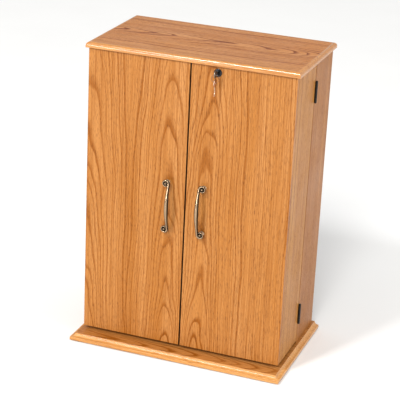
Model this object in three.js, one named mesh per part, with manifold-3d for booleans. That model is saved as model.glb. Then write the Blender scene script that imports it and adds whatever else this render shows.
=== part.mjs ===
// A media cabinet: a shallow shelved carcass with two deep, shelved box doors, a moulded top and
// a stepped plinth board. It stands on the floor, +Z up, with its front towards -Y.
// The origin is on the floor, at the centre of the plinth's footprint. All sizes are millimetres.

import * as THREE from "three";
import { mergeVertices } from "three/addons/utils/BufferGeometryUtils.js";
import Module from "manifold-3d";

const wasm = await Module();
wasm.setup();

// Driving dimensions: carcass and boards
const HEIGHT = 895;
const BODY_WIDTH = 603;
const BODY_DEPTH = 336;
const BOARD = 16;
const DOOR_SHELF = 12;
const BACK_BOARD = 4;
const TOP_SIDE_OVERHANG = 8;
const TOP_FRONT_OVERHANG = 6;
const REAR_OVERHANG = 10;
const TOP_ROUND = 8;
const BASE_THICKNESS = 22;
const BASE_SIDE_STEP = 20;
const BASE_FRONT_STEP = 54;
const BASE_EDGE = 12.5;
const BASE_LEDGE = 3;

// Driving dimensions: doors, hinges and shelves
const DOOR_DEPTH = 172.5;
const DOOR_BOTTOM = 31;
const DOOR_TOP = 877;
const CENTRE_GAP = 4;
const LEAF_GAP = 3;
const HINGE_LENGTH = 60;
const HINGE_HEIGHTS = { lower: 120, upper: 794 };
const KNUCKLE_RADIUS = 3.5;
const KNUCKLE_OFFSET = 3.8;
const PIN_RADIUS = 1.5;
const SHELVES = ["lower", "middle", "upper"];
const RAIL_RADIUS = 4.5;
const RAIL_RISE = 30;
const RAIL_INSET = 3;
const SHELF_SETBACK = 2;
const SHELF_TO_RAIL = 7;

// Driving dimensions: pulls, lock, keys and left-hand bolt
const PULL_CENTRES = 136;
const PULL_HEIGHT = 458;
const PULL_X = 54;
const PULL_BAR_SHIFT = 9;
const PULL_STANDOFF = 15;
const PULL_BOW = 14;
const LOCK_X = 78;
const LOCK_Z = 861;
const LOCK_BORE = 5.8;
const LOCK_TAIL = 6;
const CAM_REACH = 25;
const CAM_THICKNESS = 2;
const KEY_THICKNESS = 2;
const KEY_BOW = 11;
const RING_RADIUS = 11;
const BOLT_X = -24;
const BOLT_INSET = 13.5;
const BOLT_RADIUS = 2.75;
const BOLT_HOLE_RADIUS = 5;
const BOLT_LOW = 792;

// Places worked out from the driving dimensions
const FRONT_Y = BASE_FRONT_STEP - (BASE_FRONT_STEP + BODY_DEPTH + REAR_OVERHANG) / 2;
const BACK_Y = FRONT_Y + BODY_DEPTH;
const REAR_EDGE_Y = BACK_Y + REAR_OVERHANG;
const DOOR_REAR_Y = FRONT_Y + DOOR_DEPTH;
const HINGE_Y = DOOR_REAR_Y + LEAF_GAP / 2;
const CASE_FRONT_Y = DOOR_REAR_Y + LEAF_GAP;
const HALF_WIDTH = BODY_WIDTH / 2;
const HALF_GAP = CENTRE_GAP / 2;
const HINGE_X = HALF_WIDTH + KNUCKLE_OFFSET;
const TOP_UNDERSIDE = HEIGHT - BOARD;
const DOOR_INSIDE_Y = FRONT_Y + BOARD;
const BOLT_Y = DOOR_REAR_Y - BOLT_INSET;
const LOCK_END_Y = DOOR_INSIDE_Y + LOCK_TAIL;

// Materials
const finish = (color, roughness, metalness) =>
  new THREE.MeshStandardMaterial({ color, roughness, metalness });
const oak = finish("#c9853f", 0.55, 0);
const oakSide = finish("#b9825a", 0.6, 0);
const oakInside = finish("#c99a63", 0.7, 0);
const dowelWood = finish("#d8b27c", 0.6, 0);
const hardboard = finish("#8c5f3c", 0.8, 0);
const antiqueBrass = finish("#8d7450", 0.4, 1);
const blackSteel = finish("#1c1b1a", 0.45, 0.8);
const blackZinc = finish("#24262a", 0.35, 0.7);
const brightSteel = finish("#b9b6b0", 0.3, 1);
const whitePlastic = finish("#e7e2d6", 0.5, 0);

const cabinet = new THREE.Group();

function addPiece(name, geometry, material) {
  const mesh = new THREE.Mesh(geometry, material);
  mesh.name = name;
  cabinet.add(mesh);
}

// A box between two corners
function block(x0, x1, y0, y1, z0, z1) {
  const geometry = new THREE.BoxGeometry(Math.abs(x1 - x0), y1 - y0, z1 - z0);
  return geometry.translate((x0 + x1) / 2, (y0 + y1) / 2, (z0 + z1) / 2);
}

// A turned shape from [radius, height] points, its axis brought from +Y to the given direction
function turned(points, direction, sides = 24) {
  const geometry = new THREE.LatheGeometry(
    points.map(([radius, height]) => new THREE.Vector2(radius, height)),
    sides,
  );
  const turn = new THREE.Quaternion().setFromUnitVectors(
    new THREE.Vector3(0, 1, 0),
    new THREE.Vector3(...direction),
  );
  return geometry.applyQuaternion(turn);
}

// An outline of [u, v] points (with optional holes) given a thickness along +Z
function plate(points, thickness, holes = []) {
  const shape = new THREE.Shape(points.map(([u, v]) => new THREE.Vector2(u, v)));
  shape.holes = holes;
  return new THREE.ExtrudeGeometry(shape, { depth: thickness, bevelEnabled: false });
}

function solid(geometry) {
  const bare = geometry.clone();
  bare.deleteAttribute("normal");
  bare.deleteAttribute("uv");
  const merged = mergeVertices(bare, 1e-4);
  return new wasm.Manifold(
    new wasm.Mesh({
      numProp: 3,
      vertProperties: new Float32Array(merged.attributes.position.array),
      triVerts: new Uint32Array(merged.index.array),
    }),
  );
}

function geometryOf(body) {
  const { vertProperties, triVerts } = body.getMesh();
  const geometry = new THREE.BufferGeometry();
  geometry.setAttribute("position", new THREE.BufferAttribute(vertProperties, 3));
  geometry.setIndex(new THREE.BufferAttribute(triVerts, 1));
  return geometry;
}

function joined(...geometries) {
  return geometries.map(solid).reduce((whole, next) => whole.add(next));
}

// Arc points of [u, v] about a centre, angles in degrees
function arc(u, v, radius, from, to, steps) {
  return Array.from({ length: steps + 1 }, (_, i) => {
    const angle = THREE.MathUtils.degToRad(from + ((to - from) * i) / steps);
    return [u + radius * Math.cos(angle), v + radius * Math.sin(angle)];
  });
}

// A round hole about the origin, to cut in a plate
function roundHole(radius, sides) {
  const points = arc(0, 0, radius, 0, 360 - 360 / sides, sides - 1);
  return new THREE.Path(points.map(([u, v]) => new THREE.Vector2(u, v)));
}

// A horizontal board whose edge is worked to a profile of [inset, height] points. The mould runs
// round the front, the sides and, where asked, the back: one section along X is crossed with one
// along Y, so the mould meets in mitred corners.
function mouldedBoard(x0, x1, y0, y1, z0, profile, mouldBack) {
  const rear = mouldBack ? profile : profile.map(([, height]) => [0, height]);
  const across = [
    ...profile.map(([inset, height]) => [x0 + inset, height]),
    ...profile.map(([inset, height]) => [x1 - inset, height]).reverse(),
  ];
  const along = [
    ...profile.map(([inset, height]) => [y0 + inset, height]),
    ...rear.map(([inset, height]) => [y1 - inset, height]).reverse(),
  ];
  const lengthwise = plate(across.reverse(), y1 - y0 + 2)
    .rotateX(Math.PI / 2)
    .translate(0, y1 + 1, z0);
  const crosswise = plate(along.reverse(), x1 - x0 + 2)
    .rotateX(Math.PI / 2)
    .rotateZ(Math.PI / 2)
    .translate(x0 - 1, 0, z0);
  return solid(lengthwise).intersect(solid(crosswise));
}

// Plinth board: upright lower edge, a narrow ledge, then a cove rising to the flat top
function addBase() {
  const coveRadius = BASE_THICKNESS - BASE_EDGE;
  const cove = arc(BASE_LEDGE, BASE_THICKNESS, coveRadius, -90, 0, 5);
  const half = HALF_WIDTH + BASE_SIDE_STEP;
  const base = mouldedBoard(
    -half, half, FRONT_Y - BASE_FRONT_STEP, REAR_EDGE_Y, 0,
    [[0, 0], [0, BASE_EDGE], ...cove], false,
  );
  addPiece("base_board", geometryOf(base), oak);
}

// Top board: rounded upper edge, with a slot for the lock's cam and a hole for the left bolt
function addTop() {
  const round = arc(TOP_ROUND, BOARD - TOP_ROUND, TOP_ROUND, 180, 90, 5);
  const half = HALF_WIDTH + TOP_SIDE_OVERHANG;
  const camSlotDepth = 10;
  const boltHoleDepth = 12;
  const camRoom = 2;
  const board = mouldedBoard(
    -half, half, FRONT_Y - TOP_FRONT_OVERHANG, REAR_EDGE_Y, TOP_UNDERSIDE,
    [[0, 0], ...round], true,
  );
  const camSlot = block(
    LOCK_X - 10, LOCK_X + 22, LOCK_END_Y - camRoom, LOCK_END_Y + CAM_THICKNESS + camRoom,
    TOP_UNDERSIDE - 1, TOP_UNDERSIDE + camSlotDepth,
  );
  const boltHole = turned(
    [[0, -1], [BOLT_HOLE_RADIUS, -1], [BOLT_HOLE_RADIUS, boltHoleDepth], [0, boltHoleDepth]],
    [0, 0, 1], 16,
  ).translate(BOLT_X, BOLT_Y, TOP_UNDERSIDE);
  addPiece("top_board", geometryOf(board.subtract(solid(camSlot)).subtract(solid(boltHole))), oak);
}

// Side panels of the carcass, each with a rebate at its rear inner edge for the thin back
function addCase() {
  const rebate = 8;
  for (const [name, side] of [["left", -1], ["right", 1]]) {
    const outline = [
      [HALF_WIDTH - BOARD, CASE_FRONT_Y],
      [HALF_WIDTH, CASE_FRONT_Y],
      [HALF_WIDTH, BACK_Y],
      [HALF_WIDTH - BOARD + rebate, BACK_Y],
      [HALF_WIDTH - BOARD + rebate, BACK_Y - BACK_BOARD],
      [HALF_WIDTH - BOARD, BACK_Y - BACK_BOARD],
    ];
    const panel = plate(
      outline.map(([x, y]) => [side * x, y]),
      TOP_UNDERSIDE - BASE_THICKNESS,
    ).translate(0, 0, BASE_THICKNESS);
    addPiece(`${name}_side_panel`, panel, oakSide);
  }
  const backHalf = HALF_WIDTH - BOARD + rebate;
  addPiece(
    "back_panel",
    block(-backHalf, backHalf, BACK_Y - BACK_BOARD, BACK_Y, BASE_THICKNESS, TOP_UNDERSIDE),
    hardboard,
  );
  const inner = HALF_WIDTH - BOARD;
  const bay = (TOP_UNDERSIDE - BASE_THICKNESS - SHELVES.length * BOARD) / (SHELVES.length + 1);
  SHELVES.forEach((name, i) => {
    const z = BASE_THICKNESS + bay * (i + 1) + BOARD * i;
    const shelf = block(
      -inner, inner, CASE_FRONT_Y + SHELF_SETBACK, BACK_Y - BACK_BOARD, z, z + BOARD,
    );
    addPiece(`cabinet_shelf_${name}`, shelf, oakInside);
  });
}

// One deep door: a front panel and a four-board box behind it, open towards the carcass, with
// shelves and a turned rail across the open side of every compartment
function addDoor(name, side) {
  const near = HALF_GAP;
  const far = HALF_WIDTH;
  const label = (piece) => `${name}_door_${piece}`;
  const board = (piece, x0, x1, y0, y1, z0, z1, material) =>
    addPiece(label(piece), block(side * x0, side * x1, y0, y1, z0, z1), material);

  if (side > 0) addLockedFront(label("front_panel"));
  else board("front_panel", near, far, FRONT_Y, DOOR_INSIDE_Y, DOOR_BOTTOM, DOOR_TOP, oak);
  board("outer_side", far - BOARD, far, DOOR_INSIDE_Y, DOOR_REAR_Y, DOOR_BOTTOM, DOOR_TOP, oakSide);
  board("inner_side", near, near + BOARD, DOOR_INSIDE_Y, DOOR_REAR_Y, DOOR_BOTTOM, DOOR_TOP,
    oakSide);

  const left = near + BOARD;
  const right = far - BOARD;
  const floorTop = DOOR_BOTTOM + BOARD;
  const ceiling = DOOR_TOP - BOARD;
  board("bottom", left, right, DOOR_INSIDE_Y, DOOR_REAR_Y, DOOR_BOTTOM, floorTop, oakInside);
  addPiece(label("top"), geometryOf(doorTop(left, right, side)), oakInside);

  const bay = (ceiling - floorTop - SHELVES.length * DOOR_SHELF) / (SHELVES.length + 1);
  const levels = SHELVES.map((_, i) => floorTop + bay * (i + 1) + DOOR_SHELF * i);
  const railY = DOOR_REAR_Y - RAIL_RADIUS - RAIL_INSET;
  levels.forEach((z, i) => {
    board(`shelf_${SHELVES[i]}`, left, right, DOOR_INSIDE_Y, railY - SHELF_TO_RAIL, z,
      z + DOOR_SHELF, oakInside);
  });
  const feet = [floorTop, ...levels.map((z) => z + DOOR_SHELF)];
  feet.forEach((z, i) => {
    const length = right - left;
    const rail = turned(
      [[0, 0], [RAIL_RADIUS, 0], [RAIL_RADIUS, length], [0, length]], [1, 0, 0], 12,
    ).translate(side > 0 ? left : -right, railY, z + RAIL_RISE);
    addPiece(label(`rail_${i + 1}`), rail, dowelWood);
  });
}

// The right door's front panel is bored through for the lock
function addLockedFront(name) {
  const panel = block(HALF_GAP, HALF_WIDTH, FRONT_Y, DOOR_INSIDE_Y, DOOR_BOTTOM, DOOR_TOP);
  const radius = 9;
  const bore = turned([[0, -1], [radius, -1], [radius, BOARD + 1], [0, BOARD + 1]], [0, 1, 0])
    .translate(LOCK_X, FRONT_Y, LOCK_Z);
  addPiece(name, geometryOf(solid(panel).subtract(solid(bore))), oak);
}

// A door box's top board: the right one is notched for the lock, the left one bored for the bolt
function doorTop(left, right, side) {
  const board = block(
    side * left, side * right, DOOR_INSIDE_Y, DOOR_REAR_Y, DOOR_TOP - BOARD, DOOR_TOP,
  );
  const notch = block(
    LOCK_X - 15, LOCK_X + 30, DOOR_INSIDE_Y - 1, DOOR_INSIDE_Y + 14,
    DOOR_TOP - BOARD - 1, DOOR_TOP + 1,
  );
  const radius = BOLT_RADIUS + 1.25;
  const hole = turned(
    [[0, -1], [radius, -1], [radius, BOARD + 1], [0, BOARD + 1]], [0, 0, 1], 16,
  ).translate(BOLT_X, BOLT_Y, DOOR_TOP - BOARD);
  return solid(board).subtract(solid(side > 0 ? notch : hole));
}

// Butt hinge: two leaves between the door box and the carcass, knuckles standing outside
function addHinge(name, side, height) {
  const knuckles = 5;
  const space = 0.3;
  const pitch = HINGE_LENGTH / knuckles;
  const bottom = height - HINGE_LENGTH / 2;
  const leafWidth = 27;
  const leafNear = 0.25;
  const leafFar = 1.25;
  const clearOfKnuckle = 0.5;
  const plateEnd = HINGE_X - KNUCKLE_RADIUS - clearOfKnuckle;
  const bore = PIN_RADIUS + 0.2;

  const leaf = (facing, owns) => {
    const y0 = HINGE_Y + (facing < 0 ? -leafFar : leafNear);
    const y1 = y0 + leafFar - leafNear;
    const across = (x0, x1, z0, z1) => block(side * x0, side * x1, y0, y1, z0, z1);
    const pieces = [across(plateEnd - leafWidth, plateEnd, bottom, bottom + HINGE_LENGTH)];
    for (let i = 0; i < knuckles; i += 1) {
      if (!owns(i)) continue;
      const low = bottom + i * pitch + (i ? space / 2 : 0);
      const high = bottom + (i + 1) * pitch - (i < knuckles - 1 ? space / 2 : 0);
      pieces.push(
        turned(
          [[bore, 0], [KNUCKLE_RADIUS, 0], [KNUCKLE_RADIUS, high - low], [bore, high - low],
            [bore, 0]],
          [0, 0, 1], 16,
        ).translate(side * HINGE_X, HINGE_Y, low),
        across(plateEnd - 1, HINGE_X - bore - 0.6, low, high),
      );
    }
    return geometryOf(joined(...pieces));
  };
  addPiece(`${name}_case_leaf`, leaf(1, (i) => i % 2 === 0), blackSteel);
  addPiece(`${name}_door_leaf`, leaf(-1, (i) => i % 2 === 1), blackSteel);

  const headRadius = 2.9;
  const pin = turned(
    [
      [0, -2.6], [1.8, -2.3], [headRadius, -1.2], [headRadius, -space], [PIN_RADIUS, -space],
      [PIN_RADIUS, HINGE_LENGTH + space], [headRadius, HINGE_LENGTH + space],
      [headRadius, HINGE_LENGTH + 1.2], [1.8, HINGE_LENGTH + 2.3], [0, HINGE_LENGTH + 2.6],
    ],
    [0, 0, 1], 16,
  ).translate(side * HINGE_X, HINGE_Y, bottom);
  addPiece(`${name}_pin`, pin, blackSteel);
}

// Magnetic catch under the top board, and the strike plate that it meets on the door
function addCatch(name, side) {
  const centre = 34;
  const catchHalf = 20;
  const catchHeight = 12;
  const strikeHalf = 18;
  const strikeThickness = 1;
  const faceY = CASE_FRONT_Y - 0.8;
  addPiece(
    `${name}_catch`,
    block(
      side * (centre - catchHalf), side * (centre + catchHalf), faceY, faceY + 13,
      TOP_UNDERSIDE - catchHeight, TOP_UNDERSIDE,
    ),
    whitePlastic,
  );
  addPiece(
    `${name}_strike_plate`,
    block(
      side * (centre - strikeHalf), side * (centre + strikeHalf),
      DOOR_REAR_Y, DOOR_REAR_Y + strikeThickness, DOOR_TOP - 2 - catchHeight, DOOR_TOP - 2,
    ),
    brightSteel,
  );
}

// Cast pull: two round ends with posts behind them, joined by a swelled bar that passes their
// sides on the side of the centre gap and bows outwards between them
function addPull(name, side) {
  const post = turned(
    [
      [0, 0.3], [7, 0.3], [7, 1.5], [4.5, 3.5], [4.5, 10], [9, 11.5], [10.5, 13], [10.5, 17],
      [9.5, 18.5], [7.8, 18.5], [7, 17], [4.6, 17], [3.6, 20], [0, 21],
    ],
    [0, -1, 0], 16,
  );
  const ends = [-1, 1].map((end) =>
    post.clone().translate(side * PULL_X, FRONT_Y, PULL_HEIGHT + (end * PULL_CENTRES) / 2),
  );

  const steps = 12;
  const half = PULL_CENTRES / 2;
  const profile = Array.from({ length: steps + 1 }, (_, i) => {
    const t = -1 + (2 * i) / steps;
    return [3.2 + 2 * Math.cos((Math.PI / 2) * t) ** 2, t * half];
  });
  const bar = turned([[0, -half], ...profile, [0, half]], [0, 0, 1], 10);
  const position = bar.attributes.position;
  for (let i = 0; i < position.count; i += 1) {
    const rise = PULL_BOW * Math.cos((Math.PI * position.getZ(i)) / PULL_CENTRES);
    position.setY(i, position.getY(i) - PULL_STANDOFF - rise);
  }
  bar.translate(side * (PULL_X - PULL_BAR_SHIFT), FRONT_Y, PULL_HEIGHT);
  addPiece(`${name}_pull`, geometryOf(joined(...ends, bar)), antiqueBrass);
}

// Cam lock through the right door: body and nut stay still, the plug and cam turn
function addLock() {
  const bodyEnd = BOARD + LOCK_TAIL;
  const space = 0.3;
  const body = turned(
    [
      [LOCK_BORE, -3], [9.5, -3], [11.5, -1.8], [11.5, -space], [8.6, -space], [8.6, bodyEnd],
      [LOCK_BORE, bodyEnd], [LOCK_BORE, -3],
    ],
    [0, 1, 0], 32,
  ).translate(LOCK_X, FRONT_Y, LOCK_Z);
  addPiece("lock_body", body, blackZinc);

  const nutThickness = 3.5;
  const nut = plate(arc(0, 0, 12.5, 0, 300, 5), nutThickness, [roundHole(8.9, 24)])
    .rotateX(Math.PI / 2)
    .translate(LOCK_X, DOOR_INSIDE_Y + space + nutThickness, LOCK_Z);
  addPiece("lock_nut", nut, brightSteel);

  const plugRadius = LOCK_BORE - space;
  const plug = turned(
    [[0, -3.5], [plugRadius, -3.5], [plugRadius, bodyEnd], [0, bodyEnd]], [0, 1, 0],
  ).translate(LOCK_X, FRONT_Y, LOCK_Z);
  const halfSlot = KEY_THICKNESS / 2 + space;
  const keyway = block(
    LOCK_X - halfSlot, LOCK_X + halfSlot, FRONT_Y - 5, FRONT_Y + 18.5, LOCK_Z - 3.9, LOCK_Z + 3.9,
  );
  addPiece("lock_plug", geometryOf(solid(plug).subtract(solid(keyway))), blackZinc);

  // The cam points away from the centre gap when open and turns up into the top board
  const camHalf = 6;
  const hub = 8;
  const corner = 3;
  const start = THREE.MathUtils.radToDeg(Math.asin(camHalf / hub));
  const outline = [
    ...arc(0, 0, hub, start, 360 - start, 14),
    [CAM_REACH - corner, -camHalf], [CAM_REACH, corner - camHalf],
    [CAM_REACH, camHalf - corner], [CAM_REACH - corner, camHalf],
  ];
  const cam = plate(outline, CAM_THICKNESS)
    .rotateX(Math.PI / 2)
    .translate(LOCK_X, LOCK_END_Y + space + CAM_THICKNESS, LOCK_Z);
  addPiece("lock_cam", cam, brightSteel);
  const screw = turned([[0, 0], [4.5, 0], [4.5, 1.4], [3, 2.4], [0, 2.4]], [0, 1, 0], 16)
    .translate(LOCK_X, LOCK_END_Y + CAM_THICKNESS + 2 * space, LOCK_Z);
  addPiece("lock_cam_screw", screw, brightSteel);
}

// Key outline with its bow centred on the origin and its toothed blade along +U
function keyGeometry() {
  const neckHalf = 4.5;
  const bladeHalf = 3.3;
  const neckEnd = KEY_BOW + 4;
  const reach = neckEnd + 23;
  const start = THREE.MathUtils.radToDeg(Math.asin(neckHalf / KEY_BOW));
  const teeth = [];
  for (let u = reach - 3; u > neckEnd + 7; u -= 4) {
    teeth.push([u, -bladeHalf], [u - 1, -bladeHalf + 1.5], [u - 2, -bladeHalf + 1.5],
      [u - 3, -bladeHalf]);
  }
  const outline = [
    ...arc(0, 0, KEY_BOW, start, 360 - start, 20),
    [neckEnd, -neckHalf], [neckEnd, -bladeHalf], ...teeth.reverse(),
    [reach - 2, -bladeHalf], [reach, -1], [reach, 1], [reach - 2, bladeHalf],
    [neckEnd, bladeHalf], [neckEnd, neckHalf],
  ];
  return plate(outline, KEY_THICKNESS, [roundHole(2.8, 16)]).translate(0, 0, -KEY_THICKNESS / 2);
}

// One key sits in the plug, a ring hangs in its bow, and the spare key hangs from the ring
function addKeys() {
  const bowY = FRONT_Y - 20;
  const turnToKeyway = new THREE.Matrix4().makeBasis(
    new THREE.Vector3(0, 1, 0), new THREE.Vector3(0, 0, 1), new THREE.Vector3(1, 0, 0),
  );
  addPiece(
    "lock_key",
    keyGeometry().applyMatrix4(turnToKeyway).translate(LOCK_X, bowY, LOCK_Z),
    brightSteel,
  );

  const ring = new THREE.TorusGeometry(RING_RADIUS, 0.9, 6, 24)
    .rotateX(Math.PI / 2)
    .translate(LOCK_X, bowY, LOCK_Z - RING_RADIUS);
  addPiece("key_ring", ring, brightSteel);

  const turnDown = new THREE.Matrix4().makeBasis(
    new THREE.Vector3(0, 0, -1), new THREE.Vector3(0, 1, 0), new THREE.Vector3(1, 0, 0),
  );
  addPiece(
    "spare_key",
    keyGeometry().applyMatrix4(turnDown)
      .translate(LOCK_X, bowY, LOCK_Z - 2 * RING_RADIUS - 1.5),
    brightSteel,
  );
}

// Slide bolt that holds the left door to the top board, fixed to the door's inner side
function addBolt() {
  const wall = -(HALF_GAP + BOARD);
  const plateEnd = wall - 1.5;
  const backPlate = block(plateEnd, wall, BOLT_Y - 9, BOLT_Y + 9, BOLT_LOW, BOLT_LOW + 46);
  const bore = BOLT_RADIUS + 0.4;
  const loopHeight = 8;
  const guides = [BOLT_LOW + 6, BOLT_LOW + 32].map((z) => {
    const loop = block(
      BOLT_X - 5, plateEnd + 0.5, BOLT_Y - 6, BOLT_Y + 6, z, z + loopHeight,
    );
    const hole = turned(
      [[0, -1], [bore, -1], [bore, loopHeight + 1], [0, loopHeight + 1]], [0, 0, 1], 16,
    ).translate(BOLT_X, BOLT_Y, z);
    return geometryOf(solid(loop).subtract(solid(hole)));
  });
  addPiece("left_bolt_guide", geometryOf(joined(backPlate, ...guides)), brightSteel);

  const length = DOOR_TOP - BOLT_LOW - 4;
  const tip = 1.5;
  const rod = turned(
    [[0, 0], [BOLT_RADIUS, 0], [BOLT_RADIUS, length - tip], [BOLT_RADIUS - tip, length],
      [0, length]],
    [0, 0, 1], 16,
  ).translate(BOLT_X, BOLT_Y, BOLT_LOW + 2);
  const knob = turned(
    [[0, 0], [2, 0], [2, 5], [3.5, 7], [3.5, 9], [2, 10.5], [0, 10.5]], [-1, 0, 0], 16,
  ).translate(BOLT_X - 1, BOLT_Y, BOLT_LOW + 17);
  addPiece("left_bolt_rod", geometryOf(joined(rod, knob)), brightSteel);
}

addBase();
addTop();
addCase();
for (const [name, side] of [["left", -1], ["right", 1]]) {
  addDoor(name, side);
  addPull(name, side);
  addCatch(name, side);
  for (const [place, height] of Object.entries(HINGE_HEIGHTS)) {
    addHinge(`${name}_${place}_hinge`, side, height);
  }
}
addLock();
addKeys();
addBolt();

export default cabinet;
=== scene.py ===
import math

import bmesh
import bpy
from mathutils import Matrix, Quaternion, Vector


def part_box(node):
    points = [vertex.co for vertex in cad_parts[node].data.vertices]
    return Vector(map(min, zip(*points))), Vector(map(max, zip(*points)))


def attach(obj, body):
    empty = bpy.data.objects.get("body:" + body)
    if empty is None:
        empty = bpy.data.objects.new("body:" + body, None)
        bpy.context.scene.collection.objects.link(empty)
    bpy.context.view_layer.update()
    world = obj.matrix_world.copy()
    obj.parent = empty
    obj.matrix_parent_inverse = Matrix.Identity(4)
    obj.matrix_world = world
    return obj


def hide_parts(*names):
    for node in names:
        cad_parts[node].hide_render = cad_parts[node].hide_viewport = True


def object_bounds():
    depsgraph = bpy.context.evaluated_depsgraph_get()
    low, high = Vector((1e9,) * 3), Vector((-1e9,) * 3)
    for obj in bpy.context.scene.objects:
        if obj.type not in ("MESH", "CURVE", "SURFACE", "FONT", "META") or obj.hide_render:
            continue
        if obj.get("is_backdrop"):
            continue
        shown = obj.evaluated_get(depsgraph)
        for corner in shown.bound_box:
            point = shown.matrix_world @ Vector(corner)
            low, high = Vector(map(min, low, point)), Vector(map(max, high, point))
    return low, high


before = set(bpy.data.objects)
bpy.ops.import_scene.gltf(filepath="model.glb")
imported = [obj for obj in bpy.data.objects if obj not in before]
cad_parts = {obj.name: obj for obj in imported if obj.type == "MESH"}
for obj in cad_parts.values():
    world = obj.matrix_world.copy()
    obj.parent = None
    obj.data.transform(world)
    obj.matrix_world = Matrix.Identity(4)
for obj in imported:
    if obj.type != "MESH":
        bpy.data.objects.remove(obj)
cad_low, cad_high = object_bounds()

# Studio --------------------------------------------------------------------------------------
# A long lens from the front right, a little above the top board, as furniture is shown in a
# catalogue. The floor is pale and the light soft: the lamp stands in front, a little to the
# right, so the shadow falls straight back.

bpy.context.scene.view_settings.view_transform = "Standard"
middle = (cad_low + cad_high) / 2
aim = Vector((-0.0095, 0.004, middle.z - 0.02))


def direction_from(azimuth, elevation):
    """A unit vector from the cabinet towards a place round it, angles in degrees."""
    a, e = math.radians(azimuth), math.radians(elevation)
    return Vector((math.sin(a) * math.cos(e), -math.cos(a) * math.cos(e), math.sin(e)))


camera_data = bpy.data.cameras.new("studio_camera")
camera_data.lens = 134.5
camera = bpy.data.objects.new("studio_camera", camera_data)
lens_side = direction_from(19.64, 21.2)
camera.location = aim + lens_side * 4.316
tripod_lean = Quaternion((0, 0, 1), math.radians(2.77))
camera.rotation_euler = ((-lens_side).to_track_quat("-Z", "Y") @ tripod_lean).to_euler()
bpy.context.scene.collection.objects.link(camera)
bpy.context.scene.camera = camera

lamp_data = bpy.data.lights.new("key_lamp", "SUN")
lamp_data.energy = 1.42
lamp_data.angle = math.radians(16)
lamp_data.color = (1.0, 0.985, 0.96)
key_lamp = bpy.data.objects.new("key_lamp", lamp_data)
key_lamp.rotation_euler = (-direction_from(6, 36)).to_track_quat("-Z", "Y").to_euler()
bpy.context.scene.collection.objects.link(key_lamp)

# A distant softbox high on the front left puts the bright line along the rounded front edge
softbox_data = bpy.data.lights.new("edge_softbox", "AREA")
softbox_data.size = 1.25
softbox_data.energy = 410
softbox = bpy.data.objects.new("edge_softbox", softbox_data)
softbox_side = direction_from(-25.8, 46)
softbox.location = Vector((0.14, -0.15, cad_high.z)) + softbox_side * 9.0
softbox.rotation_euler = (-softbox_side).to_track_quat("-Z", "Y").to_euler()
bpy.context.scene.collection.objects.link(softbox)

# A low softbox on the front left lights the upper part of the bowed pulls
low_data = bpy.data.lights.new("low_softbox", "AREA")
low_data.size = 0.9
low_data.energy = 58
low_softbox = bpy.data.objects.new("low_softbox", low_data)
low_side = direction_from(-24, 10)
low_softbox.location = middle + low_side * 5.0
low_softbox.rotation_euler = (-low_side).to_track_quat("-Z", "Y").to_euler()
bpy.context.scene.collection.objects.link(low_softbox)

fill_data = bpy.data.lights.new("fill_softbox", "AREA")
fill_data.size = 2.4
fill_data.energy = 66
fill = bpy.data.objects.new("fill_softbox", fill_data)
fill_side = direction_from(82, 24)
fill.location = middle + fill_side * 4.2
fill.rotation_euler = (-fill_side).to_track_quat("-Z", "Y").to_euler()
bpy.context.scene.collection.objects.link(fill)


def linear(hex_colour):
    """An sRGB hex colour as the linear RGBA that a shader socket holds."""
    shares = [int(hex_colour[i:i + 2], 16) / 255 for i in (1, 3, 5)]
    return [s / 12.92 if s <= 0.04045 else ((s + 0.055) / 1.055) ** 2.4 for s in shares] + [1.0]


def add_node(tree, kind, inputs=None, **settings):
    """One node with its settings. An input takes a value, a socket to link, or several sockets."""
    made = tree.nodes.new(kind)
    for name, value in settings.items():
        setattr(made, name, value)
    for name, value in (inputs or {}).items():
        sockets = value if isinstance(value, tuple) else (value,)
        if isinstance(sockets[0], bpy.types.NodeSocket):
            for source in sockets:
                tree.links.new(source, made.inputs[name])
        else:
            made.inputs[name].default_value = value
    return made


def new_material(name):
    """An empty material: itself, its node tree and its Object coordinates."""
    material = bpy.data.materials.new(name)
    material.use_nodes = True
    material.node_tree.nodes.clear()
    place = add_node(material.node_tree, "ShaderNodeTexCoord").outputs["Object"]
    return material, material.node_tree, place


def finish_material(tree, inputs):
    """The shader that ends a material."""
    shader = add_node(tree, "ShaderNodeBsdfPrincipled", inputs)
    output = add_node(tree, "ShaderNodeOutputMaterial")
    tree.links.new(shader.outputs["BSDF"], output.inputs["Surface"])


def blend(tree, share, first, second):
    """Two colours mixed by a share."""
    made = add_node(
        tree, "ShaderNodeMix",
        {"Factor": share, 6: first, 7: second}, data_type="RGBA",
    )
    return made.outputs[2]


world = bpy.data.worlds.new("studio_world")
world.use_nodes = True
world.node_tree.nodes["Background"].inputs["Color"].default_value = linear("#ffffff")
world.node_tree.nodes["Background"].inputs["Strength"].default_value = 0.66
bpy.context.scene.world = world

# Painted studio floor: matt white, with faint scuffs under a roller-coat stipple
floor_material, tree, place = new_material("matt_white_studio_floor")
scuffs = add_node(tree, "ShaderNodeTexNoise", {"Vector": place, "Scale": 3.0, "Detail": 3.0})
floor_tone = blend(tree, scuffs.outputs["Fac"], linear("#ebebea"), linear("#efefee"))
finish_material(tree, {"Base Color": floor_tone, "Roughness": 0.9, "Specular IOR Level": 0.1})

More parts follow.
